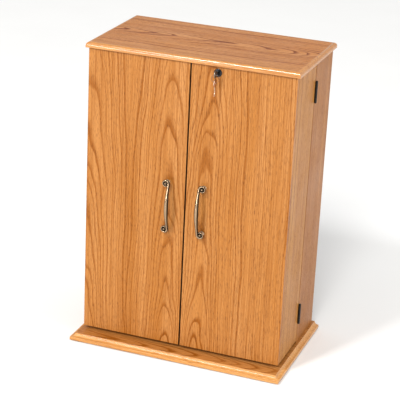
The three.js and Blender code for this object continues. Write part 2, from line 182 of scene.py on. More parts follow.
floor_half = 60.0
corners = ((-1, -1), (1, -1), (1, 1), (-1, 1))
floor_mesh = bpy.data.meshes.new("studio_floor")
floor_mesh.from_pydata(
    [(x * floor_half, y * floor_half, cad_low.z) for x, y in corners], [], [(0, 1, 2, 3)],
)
floor_mesh.materials.append(floor_material)
studio_floor = bpy.data.objects.new("studio_floor", floor_mesh)
bpy.context.scene.collection.objects.link(studio_floor)
studio_floor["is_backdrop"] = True

# Top board and plinth board ------------------------------------------------------------------
# Particle board with printed oak laminate wrapped over a worked edge: the top is rounded on all
# four sides, the plinth has an upright foot, a ledge and a cove. Both are screwed on from inside,
# so no fixing shows. The laminate is a melamine paper pressed with fine ticks along the grain,
# which gives it a satin gloss broken by dull pores.

ring_width = 0.0050
streak_width, streak_length = 0.0023, 0.300
# Real pores are about 0.3 mm wide, so they are drawn nearly five times as wide to show at all
pore_width, pore_length = 0.0014, 0.012


def oak_laminate(name, across, along, face, hearts, depth, tilt, seed, figure=1.15,
                 gloss=0.18, sheen=0.30, tones=("#bb8148", "#ad6f31", "#894a06", "#522504")):
    """Printed red oak. across and along are the axes that cross and follow the grain, and face is
    how far the board's face lies from the origin. hearts are the places across it where the
    arches stand, depth and tilt place the middle of the log behind it, figure is how strong the
    arches are, gloss the specular level, sheen the roughness, and tones run from light to pores."""
    material, tree, place = new_material(name)
    split = add_node(tree, "ShaderNodeSeparateXYZ", {"Vector": place})
    through = ({"X", "Y", "Z"} - {across, along}).pop()
    grain = add_node(
        tree, "ShaderNodeCombineXYZ",
        {"X": split.outputs[across], "Y": split.outputs[through], "Z": split.outputs[along]},
    ).outputs["Vector"]

    def sums(operation, first, second, third=0.0):
        made = add_node(
            tree, "ShaderNodeMath", {0: first, 1: second, 2: third}, operation=operation,
        )
        return made.outputs["Value"]

    def range_of(value, low, high, to_low=0.0, to_high=1.0, curve="LINEAR"):
        made = add_node(
            tree, "ShaderNodeMapRange",
            {"Value": value, "From Min": low, "From Max": high, "To Min": to_low,
             "To Max": to_high},
            interpolation_type=curve,
        )
        return made.outputs["Result"]

    def noise_of(size_across, size_along, detail, roughness, shift):
        scaled = add_node(
            tree, "ShaderNodeVectorMath",
            {0: grain, 1: (1 / size_across, 1 / size_across, 1 / size_along)},
            operation="MULTIPLY",
        )
        return add_node(
            tree, "ShaderNodeTexNoise",
            {"Vector": scaled.outputs["Vector"], "W": seed + shift, "Scale": 1.0,
             "Detail": detail, "Roughness": roughness},
            noise_dimensions="4D",
        )

    # The log's rings are round about a heart that leans away from the face, and wander a little
    wander = noise_of(0.11, 0.42, 2.0, 0.5, 0.0)
    flutter = noise_of(0.020, 0.050, 1.0, 0.5, 1.7)
    centred = add_node(
        tree, "ShaderNodeVectorMath",
        {0: wander.outputs["Color"], 1: (0.5, 0.5, 0.5)}, operation="SUBTRACT",
    )
    bent = add_node(
        tree, "ShaderNodeVectorMath",
        {0: centred.outputs["Vector"], 1: (0.050, 0.034, 0.0), 2: grain},
        operation="MULTIPLY_ADD",
    )
    parts = add_node(tree, "ShaderNodeSeparateXYZ", {"Vector": bent.outputs["Vector"]})
    sideways = None
    for heart in hearts:
        away = sums("ABSOLUTE", sums("SUBTRACT", parts.outputs["X"], heart), 0.0)
        sideways = sums("MINIMUM", sideways, away) if sideways else away
    lean = sums("MULTIPLY_ADD", parts.outputs["Z"], tilt, depth)
    off_centre = sums("ABSOLUTE", parts.outputs["Y"], 0.0)
    behind = sums("ADD", lean, sums("SUBTRACT", off_centre, face))
    radius = sums("SQRT", sums(
        "MULTIPLY_ADD", behind, behind, sums("MULTIPLY", sideways, sideways)), 0.0)
    ring = sums("MULTIPLY_ADD", flutter.outputs["Fac"], 0.35, sums("DIVIDE", radius, ring_width))
    uneven = add_node(
        tree, "ShaderNodeTexNoise",
        {"W": ring, "Scale": 0.31, "Detail": 1.0}, noise_dimensions="1D",
    )
    season = sums("FRACT", sums("MULTIPLY_ADD", uneven.outputs["Fac"], 2.6, ring), 0.0)
    falling = range_of(season, 0.02, 0.38, 1.0, 0.0, "SMOOTHSTEP")
    rising = range_of(season, 0.91, 1.0, 0.0, 1.0, "SMOOTHSTEP")
    strength = add_node(
        tree, "ShaderNodeTexNoise",
        {"W": ring, "Scale": 0.19, "Detail": 2.0}, noise_dimensions="1D",
    )
    near_heart = range_of(sideways, 0.02, 0.13, 1.0, 0.66)
    strong = range_of(strength.outputs["Fac"], 0.32, 0.62, 0.38 * figure, figure)
    line = sums("MULTIPLY", sums("MULTIPLY", sums("MAXIMUM", falling, rising), strong), near_heart)

    # Colour: a slow drift from golden to reddish, the rings, then streaks and open pores
    drift = noise_of(0.045, 0.8, 2.0, 0.6, 3.1)
    streaks = noise_of(streak_width, streak_length, 3.0, 0.65, 5.7)
    pores = noise_of(pore_width, pore_length, 2.0, 0.5, 9.3)
    base = blend(tree, range_of(drift.outputs["Fac"], 0.32, 0.68), linear(tones[0]),
                 linear(tones[1]))
    streaked = blend(tree, range_of(streaks.outputs["Fac"], 0.44, 0.68, 0.0, 0.74), base,
                     linear(tones[2]))
    lined = blend(tree, line, streaked, linear(tones[2]))
    pore = sums("MULTIPLY", range_of(pores.outputs["Fac"], 0.52, 0.66),
                sums("MULTIPLY_ADD", line, 0.35, 0.40))
    printed = blend(tree, pore, lined, linear(tones[3]))

    ticks = add_node(
        tree, "ShaderNodeBump",
        {"Height": pore, "Strength": 0.4, "Distance": 0.001 * sheen}, invert=True,
    )
    handled = add_node(
        tree, "ShaderNodeTexNoise", {"Vector": place, "Scale": 9.0, "Detail": 4.0},
    )
    touched = range_of(handled.outputs["Fac"], 0.3, 0.7, sheen, sheen * 1.4)
    satin = sums("MULTIPLY_ADD", pore, 0.20, touched)
    finish_material(tree, {
        "Base Color": printed, "Roughness": satin, "Normal": ticks.outputs["Normal"],
        "IOR": 1.5, "Specular IOR Level": gloss,
    })
    return material


# Painted sheen: the top's tones are paler and less saturated than the fronts', standing for the
# white studio reflected in it
top_oak_sheen = oak_laminate(
    "oak_laminate_top_painted_sheen", "Y", "X", 0.895, (0.035,), 0.050, 0.06, 2.4, 1.6, 0.12, 0.30,
    ("#cc9057", "#be7c42", "#7c3d0c", "#522605"),
)
# The paper is stretched round the worked edges in the press, which leaves them paler and shinier.
# The plinth's edges are given much lighter tones again, as painted light on its foot, ledge and
# cove.
edge_oak = oak_laminate(
    "oak_laminate_pressed_edge", "Y", "X", 0.895, (0.035,), 0.050, 0.06, 2.4, 0.8, 0.6, 0.12,
    ("#c98d4c", "#bd7f3c", "#96551a", "#6b3a0c"),
)
plinth_edge_oak_lit = oak_laminate(
    "oak_laminate_plinth_edge_painted_light", "Y", "X", 0.022, (-0.17, 0.12), 0.050, 0.06, 7.9, 0.6, 0.4, 0.18,
    ("#d9a261", "#cf9250", "#a5682c", "#774516"),
)
plinth_oak = oak_laminate("oak_laminate_plinth", "Y", "X", 0.022, (-0.17, 0.12), 0.050, 0.06, 7.9)


def finished_object(name, bm, materials):
    """A finished bmesh as an object at the origin."""
    mesh = bpy.data.meshes.new(name)
    bm.to_mesh(mesh)
    bm.free()
    for material in materials:
        mesh.materials.append(material)
    made = bpy.data.objects.new(name, mesh)
    bpy.context.scene.collection.objects.link(made)
    return made


def stand_for(made, body, slot, *nodes):
    """Let a finished piece ride on a body in place of plain nodes of the frame."""
    if nodes:
        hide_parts(*nodes)
    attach(made, body)


def arc(centre_inset, centre_height, radius, start, end, steps):
    """Points of [inset, height] along an arc, angles in degrees."""
    turns = [math.radians(start + (end - start) * i / steps) for i in range(steps + 1)]
    return [(centre_inset + radius * math.cos(t), centre_height + radius * math.sin(t))
            for t in turns]


def soften(made, degrees):
    """Shade a piece smooth, except across edges sharper than an angle."""
    made.data.shade_smooth()
    made.data.set_sharp_from_angle(angle=math.radians(degrees))


def moulded_board(node, flat_material, edge_material, profile, back_is_plain):
    """A horizontal board with one edge profile swept round it in mitred corners. The last two
    points of the profile lie on the flat."""
    low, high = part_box(node)
    bm = bmesh.new()
    loops = []
    for inset, height in profile:
        rear = high.y if back_is_plain else high.y - inset
        outline = ((low.x + inset, low.y + inset), (high.x - inset, low.y + inset),
                   (high.x - inset, rear), (low.x + inset, rear))
        loops.append([bm.verts.new((x, y, low.z + height)) for x, y in outline])
    for level, (below, above) in enumerate(zip(loops, loops[1:])):
        for i in range(4):
            j = (i + 1) % 4
            strip = bm.faces.new((below[i], below[j], above[j], above[i]))
            strip.material_index = 1 if level < len(profile) - 2 else 0
    bm.faces.new(loops[0][::-1])
    bm.faces.new(loops[-1])
    return finished_object(node + "_moulded", bm, [flat_material, edge_material])


# Drilled holes and slots show bare particle board, chips in resin and quite rough, coloured
# near-black brown as painted shade inside the hole
hole_shade_board, tree, place = new_material("particle_board_painted_hole_shade")
chips = add_node(tree, "ShaderNodeTexVoronoi", {"Vector": place, "Scale": 900.0})
chip_and_hole_shade_tone = blend(tree, chips.outputs["Distance"], linear("#1d130b"), linear("#4a3420"))
finish_material(tree, {"Base Color": chip_and_hole_shade_tone, "Roughness": 0.9})


def cut_out(made, bm):
    """Take a closed shape out of a piece, leaving bare particle board in the cut, darkened as
    painted shade.
    """
    cutter = finished_object("cutter", bm, [hole_shade_board])
    cut = made.modifiers.new("cut", "BOOLEAN")
    cut.object = cutter
    cut.solver = "EXACT"
    cut.material_mode = "TRANSFER"
    evaluated = made.evaluated_get(bpy.context.evaluated_depsgraph_get())
    result = bpy.data.meshes.new_from_object(evaluated)
    made.modifiers.remove(cut)
    made.data = result
    bpy.data.objects.remove(cutter)


top_low, top_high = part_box("top_board")
thickness = top_high.z - top_low.z
round_over = 0.0105
arris = 0.0007
top_profile = [
    (arris * 2, 0.0), *arc(arris, arris, arris, 270, 180, 3), (0.0, thickness - round_over),
    *arc(round_over, thickness - round_over, round_over, 180, 90, 12)[1:],
    (round_over + 0.0015, thickness),
]
top_board = moulded_board("top_board", top_oak_sheen, edge_oak, top_profile, False)

# A slot in the underside takes the lock's cam, and a hole takes the left door's bolt
cam_slot_low, cam_slot_high = Vector((0.068, -0.126, 0.878)), Vector((0.100, -0.120, 0.889))
bm = bmesh.new()
bmesh.ops.create_cube(bm, size=1.0)
slot_size = cam_slot_high - cam_slot_low
slot_turn = Matrix.LocRotScale((cam_slot_low + cam_slot_high) / 2, None, slot_size)
bmesh.ops.transform(bm, matrix=slot_turn, verts=bm.verts)
cut_out(top_board, bm)
bolt_hole_centre, bolt_hole_radius, bolt_hole_depth = Vector((-0.024, 0.013)), 0.005, 0.012
bm = bmesh.new()
bmesh.ops.create_cone(
    bm, cap_ends=True, segments=32, radius1=bolt_hole_radius, radius2=bolt_hole_radius,
    depth=2 * bolt_hole_depth,
    matrix=Matrix.Translation((*bolt_hole_centre, top_low.z)),
)
cut_out(top_board, bm)
soften(top_board, 35)
stand_for(top_board, "cabinet", "oak_face", "top_board")

plinth_low, plinth_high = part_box("base_board")
foot, ledge, glide_height = 0.0125, 0.003, 0.003
plinth_height = plinth_high.z - plinth_low.z
cove = plinth_height - foot
plinth_profile = [
    (0.002, glide_height), *arc(arris, glide_height + arris, arris, 270, 180, 3),
    *arc(arris, foot - arris, arris, 180, 90, 4),
    *arc(ledge, plinth_height, cove, -90, -5, 10),
    (ledge + cove + 0.0004, plinth_height), (ledge + cove + 0.0018, plinth_height),
]
plinth = moulded_board("base_board", plinth_oak, plinth_edge_oak_lit, plinth_profile, True)
soften(plinth, 35)
stand_for(plinth, "cabinet", "oak_face", "base_board")


def node_group(name, inputs):
    """A Geometry Nodes tree with named inputs, its input node, and a function that ends it."""
    tree = bpy.data.node_groups.new(name, "GeometryNodeTree")
    tree.interface.new_socket("Geometry", in_out="INPUT", socket_type="NodeSocketGeometry")
    tree.interface.new_socket("Geometry", in_out="OUTPUT", socket_type="NodeSocketGeometry")
    for label, kind in inputs.items():
        tree.interface.new_socket(label, in_out="INPUT", socket_type="NodeSocket" + kind)
    tree.interface.new_socket("Finish", in_out="INPUT", socket_type="NodeSocketMaterial")
    given = add_node(tree, "NodeGroupInput").outputs

    def end_with(geometry):
        real = add_node(tree, "GeometryNodeRealizeInstances", {"Geometry": geometry})
        coloured = add_node(
            tree, "GeometryNodeSetMaterial",
            {"Geometry": real.outputs["Geometry"], "Material": given["Finish"]},
        )
        result = add_node(tree, "NodeGroupOutput")
        tree.links.new(coloured.outputs["Geometry"], result.inputs["Geometry"])

    return tree, given, end_with


def set_on_points(tree, geometry, part):
    """A part on every point of a mesh, its +Z turned to the point's own facing."""
    facing = add_node(
        tree, "GeometryNodeInputNamedAttribute", {"Name": "facing"}, data_type="FLOAT_VECTOR",
    )
    aligned = add_node(
        tree, "FunctionNodeAlignRotationToVector",
        {"Vector": facing.outputs["Attribute"]}, axis="Z",
    )
    spin = add_node(
        tree, "FunctionNodeRandomValue", {"Min": 0.0, "Max": math.pi, "Seed": 5},
        data_type="FLOAT",
    )
    about_axis = add_node(
        tree, "FunctionNodeAxisAngleToRotation", {"Angle": spin.outputs["Value"]},
    )
    turned = add_node(
        tree, "FunctionNodeRotateRotation",
        {"Rotation": aligned.outputs["Rotation"], "Rotate By": about_axis.outputs["Rotation"]},
        rotation_space="LOCAL",
    )
    placed = add_node(
        tree, "GeometryNodeInstanceOnPoints",
        {"Points": geometry, "Instance": part, "Rotation": turned.outputs["Rotation"]},
    )
    return placed.outputs["Instances"]


def run_tree(name, mesh, tree, values):
    """A tree's result on a mesh, as a plain object at the origin."""
    made = bpy.data.objects.new(name, mesh)
    bpy.context.scene.collection.objects.link(made)
    modifier = made.modifiers.new("builder", "NODES")
    modifier.node_group = tree
    for item in tree.interface.items_tree:
        if item.name in values:
            modifier[item.identifier] = values[item.name]
    evaluated = made.evaluated_get(bpy.context.evaluated_depsgraph_get())
    result = bpy.data.meshes.new_from_object(evaluated)
    result.validate()
    made.modifiers.remove(modifier)
    made.data = result
    return made


def points_mesh(name, points):
    """Loose points, each given as its place and the way it faces."""
    mesh = bpy.data.meshes.new(name)
    mesh.from_pydata([place for place, _ in points], [], [])
    facing = mesh.attributes.new("facing", "FLOAT_VECTOR", "POINT")
    for i, (_, way) in enumerate(points):
        facing.data[i].vector = way
    return mesh


# A round stud with a chamfered end: glides, nails, shelf pins and dowel rails are all of this form
stud_tree, given, end_with = node_group(
    "round_studs", {"Radius": "Float", "Height": "Float", "Chamfer": "Float", "Sides": "Int"},
)
shank_height = add_node(
    stud_tree, "ShaderNodeMath", {0: given["Height"], 1: given["Chamfer"]}, operation="SUBTRACT",
)
tip_radius = add_node(
    stud_tree, "ShaderNodeMath", {0: given["Radius"], 1: given["Chamfer"]}, operation="SUBTRACT",
)
shank = add_node(
    stud_tree, "GeometryNodeMeshCone",
    {"Vertices": given["Sides"], "Radius Top": given["Radius"], "Radius Bottom": given["Radius"],
     "Depth": shank_height.outputs["Value"]},
)
tip = add_node(
    stud_tree, "GeometryNodeMeshCone",
    {"Vertices": given["Sides"], "Radius Top": tip_radius.outputs["Value"],
     "Radius Bottom": given["Radius"], "Depth": given["Chamfer"]},
)
tip_up = add_node(
    stud_tree, "ShaderNodeCombineXYZ", {"Z": shank_height.outputs["Value"]},
)
raised_tip = add_node(
    stud_tree, "GeometryNodeTransform",
    {"Geometry": tip.outputs["Mesh"], "Translation": tip_up.outputs["Vector"]},
)
stud = add_node(
    stud_tree, "GeometryNodeMeshBoolean",
    {"Mesh 2": (shank.outputs["Mesh"], raised_tip.outputs["Geometry"])}, operation="UNION",
)
end_with(set_on_points(stud_tree, given["Geometry"], stud.outputs["Mesh"]))

# Furniture glides: black ribbed polythene discs nailed under the plinth, dull and slightly scuffed
glide_plastic, tree, place = new_material("black_polythene")
glide_marks = add_node(tree, "ShaderNodeTexNoise", {"Vector": place, "Scale": 600.0, "Detail": 4.0})
glide_tone = blend(tree, glide_marks.outputs["Fac"], linear("#191817"), linear("#33302d"))
finish_material(tree, {"Base Color": glide_tone, "Roughness": 0.6, "IOR": 1.5})

glide_radius, glide_inset = 0.011, 0.035
glide_places = [
    (Vector((x, y, plinth_low.z)), Vector((0, 0, 1)))
    for x in (plinth_low.x + glide_inset, 0.0, plinth_high.x - glide_inset)
    for y in (plinth_low.y + glide_inset, plinth_high.y - glide_inset)
]
glides = run_tree(
    "plinth_glides", points_mesh("plinth_glides", glide_places), stud_tree,
    {"Radius": glide_radius, "Height": glide_height + 0.0005, "Chamfer": 0.0003, "Sides": 40,
     "Finish": glide_plastic},
)
stand_for(glides, "cabinet", "white_plastic")

# Carcass -------------------------------------------------------------------------------------
# Two side panels stand on the plinth, with a thin back let into a rebate behind them, and three
# shelves rest on steel pins between them. Rows of spare pin holes run up both sides.

# Painted light: the doors' outer sides take lighter tones than the fronts, for the lit right side
# of the cabinet
side_oak_lit = oak_laminate(
    "oak_laminate_side_painted_light", "Y", "Z", 0.3015, (0.34,), 0.07, 0.04, 4.6, 1.7, 0.12, 0.30,
    ("#c08a4a", "#b57c3a", "#884a0e", "#5e2f08"),
)
inside_oak = oak_laminate(
    "oak_laminate_inside", "Y", "X", 0.45, (-0.1, 0.15), 0.10, 0.05, 11.3, 0.7, 0.3,
    tones=("#c78a4a", "#bd7e3f", "#a3652c", "#7c481e"),
)
inner_side_oak = oak_laminate("oak_laminate_inner_side", "Y", "Z", 0.01, (0.11,), 0.10, 0.05, 13.1)

# Hardboard: wet-pressed wood fibre, brown and dull, with short fibres lying every way
hardboard, tree, place = new_material("brown_hardboard")
fibres = add_node(
    tree, "ShaderNodeTexNoise",
    {"Vector": place, "Scale": 260.0, "Detail": 5.0, "Roughness": 0.75, "Distortion": 1.5},
)
blotches = add_node(tree, "ShaderNodeTexNoise", {"Vector": place, "Scale": 18.0, "Detail": 5.0})
fibre_tone = blend(tree, fibres.outputs["Fac"], linear("#593619"), linear("#a3764a"))
blotch_share = add_node(
    tree, "ShaderNodeMapRange",
    {"Value": blotches.outputs["Fac"], "From Min": 0.4, "From Max": 0.7, "To Max": 0.55},
)
aged_tone = blend(tree, blotch_share.outputs["Result"], fibre_tone, linear("#6e4825"))
fibre_bump = add_node(
    tree, "ShaderNodeBump",
    {"Height": fibres.outputs["Fac"], "Strength": 0.3, "Distance": 0.0002},
)
finish_material(tree, {
    "Base Color": aged_tone, "Roughness": 0.72, "Normal": fibre_bump.outputs["Normal"],
})


def eased_piece(node, body, slot, material, edge, round_sides=False):
    """A piece of the frame with its triangles merged into flats and its arrises taken off."""
    bm = bmesh.new()
    bm.from_mesh(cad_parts[node].data)
    bmesh.ops.remove_doubles(bm, verts=bm.verts, dist=1e-6)
    bmesh.ops.dissolve_limit(bm, angle_limit=math.radians(1), verts=bm.verts, edges=bm.edges)
    sharp = [e for e in bm.edges if e.calc_face_angle(0) > math.radians(40)]
    bmesh.ops.bevel(bm, geom=sharp, offset=edge, segments=2, profile=0.5, affect="EDGES",
                    clamp_overlap=True)
    made = finished_object(node + "_eased", bm, [material])
    if round_sides:
        soften(made, 28)
    stand_for(made, body, slot, node)


carcass_oak = oak_laminate(
    "oak_laminate_carcass_side", "Y", "Z", 0.3015, (0.36,), 0.07, 0.04, 8.8, 1.7, 0.10, 0.30,
    ("#b27941", "#a46a35", "#7f4712", "#58310a"),
)
for side in ("left", "right"):
    eased_piece(f"{side}_side_panel", "cabinet", "oak_side", carcass_oak, 0.0007)
for level in ("lower", "middle", "upper"):
    eased_piece(f"cabinet_shelf_{level}", "cabinet", "oak_inside", inside_oak, 0.0006)
eased_piece("back_panel", "cabinet", "hardboard", hardboard, 0.0003)


def worn_metal(name, bright, dark, roughness, speck, patina_share=0.3, metallic=1.0):
    """A plated or blackened metal. speck is the size of its tarnish spots in metres, and a
    piece's own patina attribute darkens its hollows, and on the pull bars paints shade on the
    flanks."""
    material, tree, place = new_material(name)
    spots = add_node(
        tree, "ShaderNodeTexNoise",
        {"Vector": place, "Scale": 1 / speck, "Detail": 4.0, "Roughness": 0.6},
    )
    hollows_and_shade = add_node(tree, "ShaderNodeAttribute", attribute_name="patina")
    cloudy = add_node(
        tree, "ShaderNodeMapRange",
        {"Value": spots.outputs["Fac"], "From Min": 0.42, "From Max": 0.70,
         "To Max": patina_share},
    )
    dull = add_node(
        tree, "ShaderNodeMath", {0: hollows_and_shade.outputs["Fac"], 1: cloudy.outputs["Result"]},
        operation="MAXIMUM",
    )
    tone = blend(tree, dull.outputs["Value"], linear(bright), linear(dark))
    rough = add_node(
        tree, "ShaderNodeMath", {0: dull.outputs["Value"], 1: 0.25, 2: roughness},
        operation="MULTIPLY_ADD",
    )
    grit = add_node(
        tree, "ShaderNodeTexNoise", {"Vector": place, "Scale": 2200.0, "Detail": 2.0},
    )
    tooth = add_node(
        tree, "ShaderNodeBump",
        {"Height": grit.outputs["Fac"], "Strength": 0.12, "Distance": 0.0001},
    )
    finish_material(tree, {
        "Base Color": tone, "Metallic": metallic, "Roughness": rough.outputs["Value"],
        "Normal": tooth.outputs["Normal"],
    })
    return material


# Nickel-plated steel: bright and slightly warm, clouded where it has been handled
nickel = worn_metal("nickel_plated_steel", "#c9c4ba", "#6f6a62", 0.24, 0.004)

panel_low, panel_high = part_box("right_side_panel")
inner_x = panel_low.x
front_row, rear_row = 0.032, 0.036
pin_rows_y = (panel_low.y + front_row, panel_high.y - rear_row)
shelf_boxes = {level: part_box(f"cabinet_shelf_{level}") for level in ("lower", "middle", "upper")}
pin_radius, pin_length = 0.0025, 0.009
pin_places = [
    (Vector((side * inner_x, y, low.z - pin_radius)), Vector((-side, 0, 0)))
    for low, _ in shelf_boxes.values() for side in (-1, 1) for y in pin_rows_y
]
shelf_pins = run_tree(
    "shelf_pins", points_mesh("shelf_pins", pin_places), stud_tree,
    {"Radius": pin_radius, "Height": pin_length, "Chamfer": 0.0006, "Sides": 20,
     "Finish": nickel},
)
stand_for(shelf_pins, "cabinet", "bright_steel")

# The rows of spare holes are too small to bore, so each is a dark disc of bare particle board, its
# darkness painted shade where a hole would be
hole_pitch, hole_radius, holes_in_row, first_hole = 0.032, 0.0026, 24, 0.06
clear_below, clear_above = 0.010, 0.006
hole_places = []
for side in (-1, 1):
    for y in pin_rows_y:
        for i in range(holes_in_row):
            z = plinth_high.z + first_hole + hole_pitch * i
            if all(z < low.z - clear_below or z > high.z + clear_above
                   for low, high in shelf_boxes.values()):
                hole_places.append((Vector((side * inner_x, y, z)), Vector((-side, 0, 0))))
pin_holes = run_tree(
    "spare_pin_holes", points_mesh("spare_pin_holes", hole_places), stud_tree,
    {"Radius": hole_radius, "Height": 0.00025, "Chamfer": 0.0001, "Sides": 20,
     "Finish": hole_shade_board},
)
stand_for(pin_holes, "cabinet", "oak_inside")

# The back is held by panel nails along both sides and into the shelves
back_low, back_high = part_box("back_panel")
nail_inset, nails_up, nails_across = 0.004, 9, 6
end_margin, row_margin = 0.03, 0.05
nail_places = []
for i in range(nails_up):
    z = back_low.z + end_margin
    z += (back_high.z - back_low.z - 2 * end_margin) * i / (nails_up - 1)
    for x in (back_low.x + nail_inset, back_high.x - nail_inset):
        nail_places.append((Vector((x, back_high.y, z)), Vector((0, 1, 0))))
for level in ("lower", "middle", "upper"):
    low, high = shelf_boxes[level]
    for i in range(nails_across):
        x = low.x + row_margin + (high.x - low.x - 2 * row_margin) * i / (nails_across - 1)
        nail_places.append((Vector((x, back_high.y, (low.z + high.z) / 2)), Vector((0, 1, 0))))
back_nails = run_tree(
    "back_nails", points_mesh("back_nails", nail_places), stud_tree,
    {"Radius": 0.0022, "Height": 0.0007, "Chamfer": 0.0004, "Sides": 16, "Finish": nickel},
)
stand_for(back_nails, "cabinet", "bright_steel")

# Doors ---------------------------------------------------------------------------------------
# Each door is a box: a front panel with four boards glued behind it, three shelves, and a turned
# rail across every compartment so that the contents stay put when the door swings.

left_oak = oak_laminate(
    "oak_laminate_left_door", "X", "Z", 0.146, (-0.052, -0.292), 0.044, 0.050, 21.7,
)
right_oak = oak_laminate("oak_laminate_right_door", "X", "Z", 0.146, (0.056,), 0.040, 0.045, 5.2)

# Beech dowel under clear lacquer: pale and even, with short dark ray flecks along the rod
turned_beech, tree, place = new_material("lacquered_beech_dowel")
ray_length, ray_width = 0.045, 0.0014
ray_place = add_node(
    tree, "ShaderNodeVectorMath",
    {0: place, 1: (1 / ray_length, 1 / ray_width, 1 / ray_width)}, operation="MULTIPLY",
)
rays = add_node(
    tree, "ShaderNodeTexNoise",
    {"Vector": ray_place.outputs["Vector"], "Scale": 1.0, "Detail": 3.0},
)
beech_tone = blend(tree, rays.outputs["Fac"], linear("#d9b184"), linear("#b98655"))
finish_material(tree, {"Base Color": beech_tone, "Roughness": 0.38, "IOR": 1.5})

for side, door_oak in (("left", left_oak), ("right", right_oak)):
    body = f"{side}_door"
    eased_piece(f"{body}_front_panel", body, "oak_face", door_oak, 0.0015)
    eased_piece(f"{body}_outer_side", body, "oak_side", side_oak_lit, 0.0007)
    eased_piece(f"{body}_inner_side", body, "oak_side", inner_side_oak, 0.0007)
    for piece in ("top", "bottom", "shelf_lower", "shelf_middle", "shelf_upper"):
        eased_piece(f"{body}_{piece}", body, "oak_inside", inside_oak, 0.0006)
    rails = [f"{body}_rail_{number}" for number in range(1, 5)]
    rail_places = []
    for rail in rails:
        low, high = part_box(rail)
        rail_places.append((Vector((low.x, (low.y + high.y) / 2, (low.z + high.z) / 2)),
                            Vector((1, 0, 0))))
    low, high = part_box(rails[0])
    dowels = run_tree(
        f"{body}_rails", points_mesh(f"{body}_rails", rail_places), stud_tree,
        {"Radius": (high.z - low.z) / 2, "Height": high.x - low.x, "Chamfer": 0.0004,
         "Sides": 40, "Finish": turned_beech},
    )
    soften(dowels, 35)
    stand_for(dowels, body, "dowel", *rails)

# A strip of dark brown vinyl covers the raw meeting edge of each front panel; its near-black tone
# is painted shade that darkens the gap between the doors
gap_shade_vinyl, tree, place = new_material("near_black_vinyl_painted_gap_shade")
vinyl_grain = add_node(tree, "ShaderNodeTexNoise", {"Vector": place, "Scale": 500.0, "Detail": 3.0})
vinyl_gap_shade_tone = blend(tree, vinyl_grain.outputs["Fac"], linear("#1c0a04"), linear("#2e130a"))
finish_material(tree, {"Base Color": vinyl_gap_shade_tone, "Roughness": 0.6, "Specular IOR Level": 0.1})

strip_thickness, strip_margin = 0.0005, 0.0016
for side, sign in (("left", -1), ("right", 1)):
    low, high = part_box(f"{side}_door_front_panel")
    edge_x = high.x if sign < 0 else low.x
    bm = bmesh.new()
    bmesh.ops.create_cube(bm, size=1.0)
    centre = Vector((edge_x - sign * strip_thickness / 2, (low.y + high.y) / 2,
                     (low.z + high.z) / 2))
    size = Vector((strip_thickness, high.y - low.y - strip_margin,
                   high.z - low.z - 2 * strip_margin))
    bmesh.ops.transform(bm, matrix=Matrix.LocRotScale(centre, None, size), verts=bm.verts)
    bmesh.ops.bevel(bm, geom=bm.edges[:], offset=0.0001, segments=1, affect="EDGES")
    strip = finished_object(f"{side}_door_gap_shade_strip", bm, [gap_shade_vinyl])
    stand_for(strip, f"{side}_door", "oak_face")

# Pulls ---------------------------------------------------------------------------------------
# Zinc castings plated antique brass: the bar swells and bows outwards, and each end curls round
# a button like a scroll. A screw from inside the door holds each end's foot. The plating is
# blackened and rubbed back, so the hollows stay dark and the high places shine. On the bar the
# flanks are darkened further by the way they face, as painted shade, and its crest kept bright.

antique_brass = worn_metal("antique_brass_plated_zinc", "#bb9f80", "#1a130d", 0.17, 0.004, 0.4)


def lathe(bm, centre, axis, profile, steps=48):
    """Add a turned shape: profile points are (radius, distance along axis, patina)."""
    patina = bm.verts.layers.float.get("patina") or bm.verts.layers.float.new("patina")
    turn = Vector((0, 0, 1)).rotation_difference(axis)
    loops = []
    for radius, height, dark in profile:
        count = 1 if radius == 0 else steps
        loop = []
        for i in range(count):
            angle = 2 * math.pi * i / steps
            spot = Vector((radius * math.cos(angle), radius * math.sin(angle), height))
            vert = bm.verts.new(centre + turn @ spot)
            vert[patina] = dark
            loop.append(vert)
        loops.append(loop)
    for below, above in zip(loops, loops[1:]):
        for i in range(steps):
            j = (i + 1) % steps
            ring = [below[i % len(below)], below[j % len(below)],
                    above[j % len(above)], above[i % len(above)]]
            unique = [v for n, v in enumerate(ring) if v not in ring[:n]]
            bm.faces.new(unique)


# A rod of changing thickness swept along a path
rod_tree, given, end_with = node_group("swept_rod", {"Sides": "Int"})
path = add_node(rod_tree, "GeometryNodeMeshToCurve", {"Mesh": given["Geometry"]})
section = add_node(
    rod_tree, "GeometryNodeCurvePrimitiveCircle", {"Resolution": given["Sides"], "Radius": 1.0},
)
girth = add_node(
    rod_tree, "GeometryNodeInputNamedAttribute", {"Name": "girth"}, data_type="FLOAT",
)
swept = add_node(
    rod_tree, "GeometryNodeCurveToMesh",
    {"Curve": path.outputs["Curve"], "Profile Curve": section.outputs["Curve"],
     "Scale": girth.outputs["Attribute"], "Fill Caps": True},
)
smooth = add_node(rod_tree, "GeometryNodeSetShadeSmooth", {"Geometry": swept.outputs["Mesh"]})
end_with(smooth.outputs["Geometry"])


def path_mesh(name, spots):
    """A line of points, each given as its place and the rod's radius there."""
    mesh = bpy.data.meshes.new(name)
    mesh.from_pydata([spot for spot, _ in spots], [(i, i + 1) for i in range(len(spots) - 1)], [])
    girth = mesh.attributes.new("girth", "FLOAT", "POINT")
    girth.data.foreach_set("value", [radius for _, radius in spots])
    return mesh


